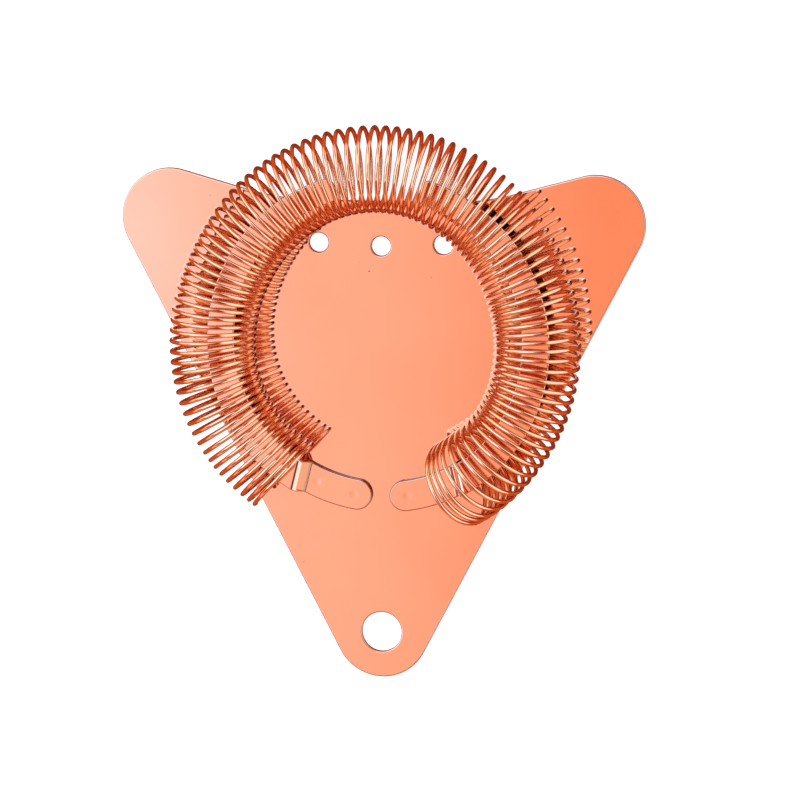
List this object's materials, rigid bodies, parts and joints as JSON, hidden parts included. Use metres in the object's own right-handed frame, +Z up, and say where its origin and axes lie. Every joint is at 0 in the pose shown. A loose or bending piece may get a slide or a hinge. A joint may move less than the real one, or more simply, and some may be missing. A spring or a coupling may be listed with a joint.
{
  "type": "hawthorne strainer",
  "caption": "Copper-plated cocktail strainer: a triangular flat plate with a hanging hole and drain holes, and a coil spring that slides round raised arms.",
  "frame": {"origin": "centre of the ring of arms, on the plate's flat resting face", "axes": "+Z up through the plate towards the coil, +Y towards the front edge between the ears, -Y towards the tail and its hanging hole, +X to the right-hand ear"},
  "size_m": [0.12, 0.1283, 0.0212],
  "materials": {
    "polished_copper": "mirror-polished copper plating on stainless steel sheet",
    "arm_copper": "polished copper plating on stainless steel strip",
    "weld_metal": "fused weld metal, dull",
    "wire_copper": "bright copper plating on drawn spring wire"
  },
  "bodies": {
    "frame": {"plate": "polished_copper", "left_arm": "arm_copper", "right_arm": "arm_copper", "left_inner_weld": "weld_metal", "left_outer_weld": "weld_metal", "right_inner_weld": "weld_metal", "right_outer_weld": "weld_metal"},
    "coil": {"spring_coil": "wire_copper"}
  },
  "joints": [
    {"name": "coil_slide", "type": "hinge", "parent": "frame", "child": "coil", "pos_m": [0.0003, 0.0021, 0.0112], "axis": [0, 0, 1], "range_deg": [-2.5, 1.5]}
  ]
}
